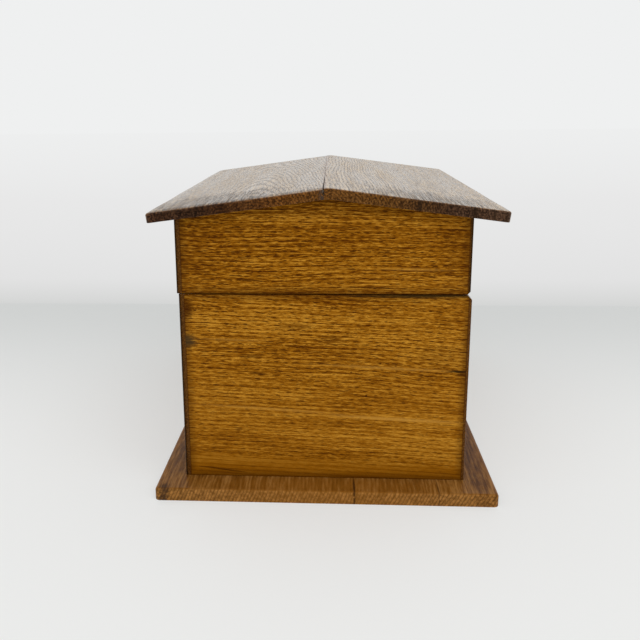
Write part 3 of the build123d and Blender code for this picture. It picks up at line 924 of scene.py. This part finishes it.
BASE_STAINS_AND_REFLECTION = (
    # Amber patch on the front strip of the top, next to the end panel: a painted reflection of the
    # amber panel.
    Patch(0.179, 0.0, 0.020, 0.110, 0.45, paint(136, 84, 16)),
    Patch(0.182, 0.0205, 0.016, 0.0011, 0.85),
    Patch(0.182, 0.0790, 0.016, 0.0009, 0.7),
    Patch(0.187, -0.1130, 0.008, 0.0045, 0.7, paint(44, 32, 28)),
    Patch(0.02, 0.116, 0.260, 0.018, 0.9, paint(216, 206, 198), glaze=True),
)

# The front and back boards of the case and the lid were sawn in one piece.
FRONT_CUT = Cut(Grain.WALLS, (0.05, 0.02), 5.7, wave=0.014, ring=0.0032)
BACK_CUT = Cut(Grain.WALLS, (0.21, -0.05), 1.9, wave=0.012, ring=0.0034)


@dataclass
class Case:
    """Lower half: base, four oak walls with lapped ends, and the cedar lining."""

    walls: dict[str, Cut] = field(default_factory=lambda: {
        "case_right_end": Cut(Grain.ENDS, (-0.42, 0.09), 3.1, tilt=0.045, wave=0.007, tone=0.02,
                              patches=END_PANEL_STAINS_AND_SHADE,
                              calms=((0.019, 0.026, 0.3), (0.035, 0.125, 0.66))),
        "case_left_end": Cut(Grain.ENDS, (-0.30, -0.06), 8.3, tilt=-0.02, wave=0.008),
        "case_front_board": replace(FRONT_CUT, rim=-0.10095),
        "case_back_board": replace(BACK_CUT, end_tone=1.6),
    })
    base: dict[str, Cut] = field(default_factory=lambda: {
        "base_board": Cut(Grain.FLAT, (0.33, -0.14), 6.4, wave=0.008, ring=0.0023,
                          patches=BASE_STAINS_AND_REFLECTION, fineness=(0.3, 0.35)),
    })
    lining: dict[str, Cut] = field(default_factory=lambda: {
        "case_liner_front": Cut(Grain.WALLS, (-0.12, 0.01), 12.1, wave=0.012, ring=0.006),
        "case_liner_back": Cut(Grain.WALLS, (0.20, 0.03), 13.7, wave=0.012, ring=0.006),
        "case_liner_left": Cut(Grain.ENDS, (-0.10, -0.05), 14.3, wave=0.01, ring=0.006),
        "case_liner_right": Cut(Grain.ENDS, (0.18, 0.05), 15.9, wave=0.01, ring=0.006),
        "case_liner_floor": Cut(Grain.FLAT, (0.03, -0.05), 16.1, wave=0.014, ring=0.007),
    })

    def build(self, grain: Tree) -> None:
        """Dress every board of the case.

        Args:
            grain: The node group of the grain.
        """
        AMBER_OAK.clad(self.walls, grain)
        BASE_OAK.clad(self.base, grain)
        CEDAR.clad(self.lining, grain)


@dataclass(frozen=True)
class RoofBoard:
    """One worn board of the roof, with its arrises rubbed and nicked.

    It is worked out flat: across is the way from the eave up the slope, and down is the depth
    below the top. The board's box gives its eave, its glue line and its foot. Steps are counts of
    points. Wave is the radius and the three wave numbers of the arrises' slow waves. Sink is the
    share of worn_drop that the rim sinks by, and how much more for each unit of wear. The nail is
    the hole's place from the glue line and below the ridge, and its radius.
    """

    node: str
    side: int
    pitch: float
    thick: float = 0.0073
    other_pitch: float = 0.0
    ridge: float = 0.0031
    ridge_half: float = 0.0029
    corner: float = 0.003
    arris: float = 0.0011
    lower_arris: float = 0.0004
    fine: float = 0.0004
    coarse: float = 0.005
    worn_reach: float = 0.009
    worn_drop: float = 0.0006
    nicks: int = 26
    seed: int = 4
    crack_width: float = 0.0
    crack_length: float = 0.130
    crack_depth: float = 0.005
    crack_slant: float = 0.006
    crack_foot: float = 0.0006
    nail: Triple = (0.0005, 0.004, 0.0014)
    nail_depth: float = 0.0008
    nail_reach: float = 0.001
    nail_flat: float = 1.3
    side_steps: int = 15
    cap_steps: int = 10
    lower_wear: float = 0.4
    sink: Pair = (0.6, 400.0)
    wave: tuple[float, float, float, float] = (0.00022, 170.0, 13.0, 61.0)
    nick_reach: Pair = (0.0008, 0.0032)
    nick_depth: Pair = (0.0005, 0.0013)
    ridge_least: float = 0.0002

    def build(self, material: Material) -> None:
        """Make the board, dress it and put it in the place of its node."""
        piece = surface(f"worn_{self.node}", self._bent(*self._worn(*self._flat())))
        stand_in(piece, self.node, material)

    def _span(self) -> tuple[float, float, float, float]:
        """Half length, eave, glue line and foot height, from the node's box."""
        low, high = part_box(self.node)
        eave, glue = (low[1], high[1]) if self.side < 0 else (high[1], low[1])
        return high[0], eave, glue, low[2]

    def _flat(self) -> tuple[Array, Array, Array]:
        """Along, across and down of a sharp-edged board: its section carried along, and closed.

        The section runs along the underside, up the glue face, back along the top and down the
        eave. Over each end it shrinks towards the middle of the thickness.

        Returns:
            Three arrays, rings by places round.
        """
        half, eave, glue, _ = self._span()
        width = abs(glue - eave)
        slope, level = sin(self.pitch), cos(self.pitch)
        reach = {down: (width - down * slope) / level for down in (0.0, self.thick)}
        under = spread(reach[self.thick], self.fine, self.coarse)
        over = spread(reach[0.0], self.fine, self.coarse)[::-1]
        rise = np.linspace(self.thick, 0.0, self.side_steps)[1:-1]
        fall = rise[::-1]
        across = np.concatenate([under, (width - rise * slope) / level, over, np.zeros(fall.shape)])
        down = np.concatenate([np.full(under.shape, self.thick), rise, np.zeros(over.shape), fall])
        core = self.thick / 2
        middle = np.clip(across, core, width - core)
        shares = 1 - np.linspace(0.0, 1.0, self.cap_steps)[:-1]
        run = spread(2 * half, self.fine, self.coarse)[1:-1] - half
        cap = np.full(shares.shape, half)
        share = np.concatenate([shares[::-1], np.ones(len(run)), shares])[:, None]
        along = np.repeat(np.concatenate([-cap, run, cap])[:, None], len(across), axis=1)
        return along, middle + (across - middle) * share, core + (down - core) * share

    def _worn(self, along: Array, across: Array, down: Array) -> tuple[Array, ...]:
        """The board after years of hands: eased corners, rubbed and nicked arrises, sunken ends.

        The distance from the plan's outline is measured to the nearer of end and eave, and from
        the middle of the corner's circle inside the corner. Both arrises are rounded with it.

        Args:
            along: Place of each point along the board.
            across: Its place from the eave.
            down: Its depth below the top.

        Returns:
            Along, across and down again.
        """
        half = self._span()[0]
        end = half - np.abs(along)
        end, across = rubbed(end, across, self.corner)
        one, two = np.maximum(self.corner - end, 0.0), np.maximum(self.corner - across, 0.0)
        far = np.hypot(one, two)
        inside = (one > 0) & (two > 0)
        rim = np.where(inside, self.corner - far, np.minimum(end, across))
        safe = np.where(far > 0, far, 1.0)
        to_end = np.where(inside, one / safe, end <= across)
        to_eave = np.where(inside, two / safe, end > across)
        wear = self._nicks(along, across)
        moved, down = rubbed(rim, down, self.arris + wear)
        moved, up = rubbed(moved, self.thick - down, self.lower_arris + self.lower_wear * wear)
        down = self.thick - up
        end, across = end + to_end * (moved - rim), across + to_eave * (moved - rim)
        sunk = np.clip(1 - rim / self.worn_reach, 0.0, 1.0) ** 2 * self.worn_drop
        level, by_wear = self.sink
        down = down + sunk * (level + by_wear * wear) * (1 - down / self.thick)
        return np.sign(along) * (half - end), across, down

    def _nicks(self, along: Array, across: Array) -> Array:
        """Extra radius along the arrises: slow waves, and bell-shaped nicks at seeded places.

        Args:
            along: Place of each point along the board.
            across: Its place from the eave.

        Returns:
            The radius at each point, to be added.
        """
        draw = np.random.default_rng(self.seed)
        place = np.stack([along, across], axis=-1)
        half, eave, glue, _ = self._span()
        radius, first, second, third = self.wave
        total = radius * (1 + np.sin(across * first + along * second) * np.sin(along * third + 2))
        for number in range(self.nicks):
            at_end = number % 3 < 2
            spot = (
                half * (1 if number % 2 else -1) if at_end else draw.uniform(-half, half),
                draw.uniform(0.0, abs(glue - eave)) if at_end else 0.0,
            )
            reach = draw.uniform(*self.nick_reach)
            away = ((place - np.array(spot)) ** 2).sum(axis=-1)
            bell = np.exp(-away / reach ** 2)
            total = np.maximum(total, draw.uniform(*self.nick_depth) * bell)
        return total

    def _bent(self, along: Array, across: Array, down: Array) -> Array:
        """Place in the frame: up the slope and over the ridge, with the glue line and nail hole.

        Past the ridge the height falls by both slopes together, and next to it by a parabola that
        meets both lines. The crack is a wedge that opens towards the right end. The nail hole is a
        bowl in that end, with a flat bottom, and its wall follows the fourth power of the distance.

        Args:
            along: Place of each point along the board.
            across: Its place from the eave.
            down: Its depth below the top.

        Returns:
            The points, rings by places round by three, with the faces outwards.
        """
        half, eave, glue, foot = self._span()
        slope, level = sin(self.pitch), cos(self.pitch)
        y = eave - self.side * (across * level + down * slope)
        y = glue + self.side * np.maximum(self.side * (y - glue), 0.0)
        z = foot + self.thick * level + across * slope - down * level
        if self.other_pitch:
            past = y - (glue + self.ridge)
            soft = self.ridge_half * (1 - down / self.thick) + self.ridge_least
            curve = (soft - past) ** 2 / (4 * soft)
            fall = np.where(np.abs(past) < soft, curve, np.maximum(-past, 0.0))
            z = z - fall * (np.tan(self.pitch) + np.tan(self.other_pitch))
        top = foot + self.thick * level + abs(glue - eave) / level * slope
        if self.crack_width:
            opened = np.clip((along - half + self.crack_length) / self.crack_length, 0.0, 1.0)
            near = np.clip(1 - (glue - y) / self.crack_slant, 0.0, 1.0)
            high = np.clip((z - top + self.crack_depth) / self.crack_foot, 0.0, 1.0)
            y = y - self.crack_width * opened * near * high
        side, drop, radius = self.nail
        hole = np.hypot(y - glue + side, z - top + drop) / radius
        bowl = self.nail_depth * np.clip(self.nail_flat - hole ** 4, 0.0, 1.0)
        x = along - np.where(along > half - self.nail_reach, bowl, 0.0)
        return np.stack([x, y, z], axis=-1)[:, ::-self.side]


@dataclass
class Lid:
    """Upper half: walls and gables, the two roof boards, and the cedar lining."""

    walls: dict[str, Cut] = field(default_factory=lambda: {
        "lid_right_gable": Cut(Grain.ENDS, (-0.36, 0.05), 21.6, tilt=0.02, wave=0.010, tone=-0.08,
                               patches=GABLE_STAINS_AND_SHADE),
        "lid_left_gable": Cut(Grain.ENDS, (-0.28, -0.04), 22.2, wave=0.008),
        "lid_front_board": replace(FRONT_CUT, rim=-0.10215),
        "lid_back_board": replace(BACK_CUT, rim=0.09745),
    })
    roof: dict[RoofBoard, Cut] = field(default_factory=lambda: {
        RoofBoard("roof_front_board", -1, 0.12949, crack_width=0.001, worn_drop=0.0014):
            Cut(Grain.FLAT, (-0.048, 0.172), 25.4, wave=0.009, ring=0.0020, lean=-0.08,
                patches=ROOF_FRONT_STAINS, fineness=(0.25, 0.55)),
        RoofBoard("roof_back_board", 1, 0.13372, other_pitch=0.12949, worn_drop=0.0003, seed=9):
            Cut(Grain.FLAT, (-0.03, 0.168), 27.2, wave=0.009, ring=0.0017, tone=0.08,
                patches=ROOF_BACK_STAINS, fineness=(0.25, 0.6)),
    })
    lining: dict[str, Cut] = field(default_factory=lambda: {
        "lid_liner_front": Cut(Grain.WALLS, (0.05, 0.01), 31.1, wave=0.01, ring=0.006),
        "lid_liner_back": Cut(Grain.WALLS, (0.3, 0.03), 32.7, wave=0.01, ring=0.006),
        "lid_liner_left": Cut(Grain.ENDS, (0.1, -0.05), 33.3, wave=0.01, ring=0.006),
        "lid_liner_right": Cut(Grain.ENDS, (0.25, 0.05), 34.9, wave=0.01, ring=0.006),
        "lid_ceiling": Cut(Grain.FLAT, (-0.03, 0.1), 35.1, wave=0.014, ring=0.007),
    })

    def build(self, grain: Tree) -> None:
        """Dress every board of the lid.

        Args:
            grain: The node group of the grain.
        """
        AMBER_OAK.clad(self.walls, grain)
        CEDAR.clad(self.lining, grain)
        for board, cut in self.roof.items():
            board.build(ROOF_OAK.make(board.node, cut, grain))


@dataclass
class Sponge:
    """Cut block of dry sponge that fills the humidifier's tank, with open pores."""

    node: str = "humidifier_sponge"
    step: float = 0.0007
    corner: float = 0.0022
    pores: tuple[tuple[float, float, float, int], ...] = (
        (0.0042, 0.42, 0.0011, 3), (0.0023, 0.46, 0.0007, 5), (0.0013, 0.5, 0.0004, 8),
    )
    sag: float = 0.0003
    sag_waves: Pair = (310.0, 420.0)
    end_step: float = 0.8
    finish: SpongeFinish = SpongeFinish()

    def build(self) -> None:
        """Make the block, dress it and put it in the place of its node."""
        points, outward = self._block()
        piece = surface("sponge_block", points - outward * self._depth(points)[..., None])
        stand_in(piece, self.node, self.finish.build())

    def _block(self) -> tuple[Array, Array]:
        """Block with rounded edges, as rings from the middle of one end to the middle of the other.

        A ring is the outline of a rounded rectangle. It has its full size along the block and
        shrinks to a point over each end. Where the side meets the end, the ring follows a quarter
        circle: its inset is one less the sine of an angle, and its way from the end is one less
        the cosine, both times the corner's radius.

        Returns:
            Points and outward directions, both rings by places round by three.
        """
        low, high = (np.array(corner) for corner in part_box(self.node))
        middle, half = (low + high) / 2, (high - low) / 2
        flat = np.arange(0.0, half[2] - self.corner, self.step * self.end_step)
        turn = np.linspace(0.0, np.pi / 2, ARC_STEPS)
        length = np.arange(-1.0, 1.0, self.step / half[0])[1:] * (half[0] - self.corner)
        inset = np.concatenate([half[2] - flat, self.corner * (1 - np.sin(turn))])
        lean = np.concatenate([np.ones(flat.shape), np.cos(turn)])
        along = half[0] - self.corner * (1 - lean)
        level = np.zeros(length.shape)
        inset = np.concatenate([inset, level, inset[::-1]])
        along = np.concatenate([-along, length, along[::-1]])
        lean = np.concatenate([-lean, level, lean[::-1]])
        ring, side = self._outline(half[1], half[2])
        share = 1 - inset / half[2]
        spine = np.clip(ring[:, 0], half[2] - half[1], half[1] - half[2])
        core = np.stack([spine, np.zeros(len(ring))], axis=1)
        points = np.empty((len(along), len(ring), 3))
        points[..., 0] = along[:, None]
        points[..., 1:] = core[None] + (ring - core)[None] * share[:, None, None]
        outward = np.empty_like(points)
        outward[..., 0] = lean[:, None]
        outward[..., 1:] = side[None] * np.sqrt(1 - lean ** 2)[:, None, None]
        return points + middle, outward

    def _outline(self, wide: float, high: float) -> tuple[Array, Array]:
        """Rounded rectangle: four straight sides joined by quarter circles.

        Args:
            wide: Half of its width.
            high: Half of its height.

        Returns:
            Places and outward directions round the outline, anticlockwise.
        """
        angle = np.linspace(0.0, np.pi / 2, ARC_STEPS)
        places, sides = [], []
        for number, (y, z) in enumerate(((1, 1), (-1, 1), (-1, -1), (1, -1))):
            turned = angle + number * np.pi / 2
            side = np.stack([np.cos(turned), np.sin(turned)], axis=1)
            centre = np.array([y * (wide - self.corner), z * (high - self.corner)])
            places.append(centre + self.corner * side)
            sides.append(side)
            run = 2 * ((high if number % 2 else wide) - self.corner)
            share = np.arange(self.step, run - self.step / 2, self.step)[:, None] / run
            along = np.array([-side[-1][1], side[-1][0]])
            places.append(places[-1][-1] + along * share * run)
            sides.append(np.repeat(side[-1:], len(share), axis=0))
        return np.concatenate(places), np.concatenate(sides)

    def _depth(self, points: Array) -> Array:
        """Depth of the surface below the block's skin.

        Each size of pore is a bowl round the seeds of a jittered lattice: the depth falls as one
        less the square of the distance, out to the pore's reach. The deepest bowl counts, and a
        slow wave in both directions is added.

        Args:
            points: Points of the smooth block.

        Returns:
            The depth at each point.
        """
        bowls = [
            deep * np.clip(1 - (seed_distance(points / size, seed) / reach) ** 2, 0, None)
            for size, reach, deep, seed in self.pores
        ]
        first, second = self.sag_waves
        wave = np.sin(points[..., 0] * first) * np.sin(points[..., 1] * second + 1)
        return np.maximum.reduce(bowls) + self.sag * (1 + wave) / 2


METAL = ("hinge", "lock", "link", "keyhole", "humidifier")


@dataclass
class Fittings:
    """Hinges, lock, humidifier and screws."""

    plates: MetalFinish = MetalFinish("aged_brass", paint(206, 168, 92), paint(150, 112, 58), 0.3)
    screws: MetalFinish = MetalFinish("screw_brass", paint(196, 160, 92), paint(104, 72, 36), 0.7)

    def build(self) -> None:
        """Dress the metal."""
        brass, screw = self.plates.build(), self.screws.build()
        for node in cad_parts:
            if node.endswith("screws"):
                dress(node, screw)
            elif node.startswith(METAL) and not node.endswith("sponge"):
                dress(node, brass)


@dataclass
class Studio:
    """White room: floor, even light from all round, a soft lamp, and the camera."""

    floor_colour: Colour = paint(236, 237, 236)
    # Painted shade: the floor darkens from far_start back to the seam, and the wall's colour
    # darkens down to the seam.
    far_floor_shade: Colour = paint(210, 212, 211)
    floor_reach: float = 8.0
    wall_shade_stops: Stops = (
        (0.0, paint(239, 240, 240)), (0.23, paint(232, 232, 232)),
        (0.69, paint(226, 226, 226)), (1.0, paint(212, 213, 212)),
    )
    seam_x: float = -0.375
    seam_soft: float = 0.004
    far_start: float = 0.16
    floor_roughness: float = 0.6
    floor_specular: float = 0.2
    floor_glow: float = 0.5
    ambient: float = 0.84
    lamp_power: float = 12.0
    lamp_size: float = 2.0
    lamp_place: Triple = (1.3, 0.5, 1.7)
    eye: Triple = (0.687505, 0.003961, 0.269277)
    yaw: float = -3.842
    pitch: float = -13.855
    roll: float = -0.654
    sensor: float = 36.0
    clip: float = 0.01
    lens: float = 44.21
    shift: Pair = (0.0625, -0.03125)

    def build(self) -> None:
        """Set up floor, world, lamp and camera."""
        self._camera()
        self._floor()
        self._world()
        self._lamp()
        bpy.context.scene.view_settings.view_transform = "Standard"
        log.info("studio is set")

    def _camera(self) -> None:
        """Camera at the place that the photograph was taken from."""
        turn, fall, lean = radians(self.yaw), radians(self.pitch), radians(self.roll)
        ahead = Vector((-cos(fall) * cos(turn), cos(fall) * sin(turn), sin(fall)))
        right = ahead.cross(Vector((0.0, 0.0, 1.0))).normalized()
        above = right.cross(ahead)
        side = right * cos(lean) + above * sin(lean)
        top = above * cos(lean) - right * sin(lean)
        camera = link("camera", bpy.data.cameras.new("camera"))
        camera.data.sensor_width = self.sensor
        camera.data.lens = self.lens
        camera.data.shift_x, camera.data.shift_y = self.shift
        camera.data.clip_start = self.clip
        turned = Matrix((side, top, -ahead)).transposed().to_4x4()
        camera.matrix_world = Matrix.Translation(self.eye) @ turned
        bpy.context.scene.camera = camera

    def _background(self, table: NodeTable) -> Socket:
        """Whether a ray looks at the background: from the camera, a gloss or a glass.

        Args:
            table: Table of the tree that asks.

        Returns:
            1 for such a ray, else 0.
        """
        path = table.put("LightPath")
        seen = table.calc("MAXIMUM", path["Is Camera Ray"], path["Is Glossy Ray"])
        return table.calc("MAXIMUM", seen, path["Is Transmission Ray"])

    def _floor(self) -> None:
        """Large floor, with painted shade darker towards the wall; past the seam it shows the
        wall's colour, with painted shade darker down to the seam.
        """
        reach = self.floor_reach
        mesh = bpy.data.meshes.new("floor")
        turns = ((-1, -1), (1, -1), (1, 1), (-1, 1))
        mesh.from_pydata([(x * reach, y * reach, 0.0) for x, y in turns], [], [(0, 1, 2, 3)])
        floor = link("floor", mesh)
        material = new_material("pale_floor")
        table = NodeTable(material.node_tree)
        place = table.put("TexCoord")["Object"]
        split = table.split(place)
        past = table.fade(split["X"], self.seam_x + self.seam_soft, self.seam_x - self.seam_soft)
        # Painted shade: the floor darkens from far_start back towards the wall.
        far_shade = table.fade(split["X"], self.far_start, self.seam_x)
        colour = table.blend(far_shade, self.floor_colour, self.far_floor_shade)
        height = table.calc("DIVIDE", self.seam_x, table.calc("MINIMUM", split["X"], self.seam_x))
        # Painted shade: the wall's colour darkens down to the seam.
        wall = table.ramp(height, self.wall_shade_stops)
        plain = table.put("BsdfPrincipled", {
            "Base Color": colour,
            "Roughness": self.floor_roughness,
            "Specular IOR Level": self.floor_specular,
        })
        seen = table.blend(past, colour, wall)
        glow = table.put("Emission", {"Color": seen, "Strength": 1.0})
        share = table.times(table.fade(past, 0.0, 1.0, self.floor_glow), self._background(table))
        both = table.put("MixShader", {0: share, 1: plain[0], 2: glow[0]})
        table.put("OutputMaterial", {"Surface": both[0]})
        mesh.materials.append(material)

    def _world(self) -> None:
        """Even white light, and the wall's first colour where the background is seen."""
        world = bpy.data.worlds.new("white_room")
        world.use_nodes = True
        table = NodeTable(world.node_tree)
        white = (1.0, 1.0, 1.0, 1.0)
        light = table.put("Background", {"Color": white, "Strength": self.ambient})
        wall = table.put("Background", {"Color": self.wall_shade_stops[0][1], "Strength": 1.0})
        both = table.put("MixShader", {0: self._background(table), 1: light[0], 2: wall[0]})
        table.put("OutputWorld", {"Surface": both[0]})
        bpy.context.scene.world = world

    def _lamp(self) -> None:
        """Soft window light from the hinge side, in front and above."""
        data = bpy.data.lights.new("window", "AREA")
        data.energy = self.lamp_power
        data.size = self.lamp_size
        lamp = link("window", data)
        lamp.location = self.lamp_place
        lamp.rotation_euler = (-Vector(self.lamp_place)).to_track_quat("-Z", "Y").to_euler()


def main() -> None:
    """Build and dress everything in order."""
    logging.basicConfig(level=logging.INFO, format="%(name)s: %(message)s")
    Studio().build()
    grain = GrainPattern().build()
    Case().build(grain)
    Lid().build(grain)
    Fittings().build()
    Sponge().build()


if __name__ == "__main__":
    main()
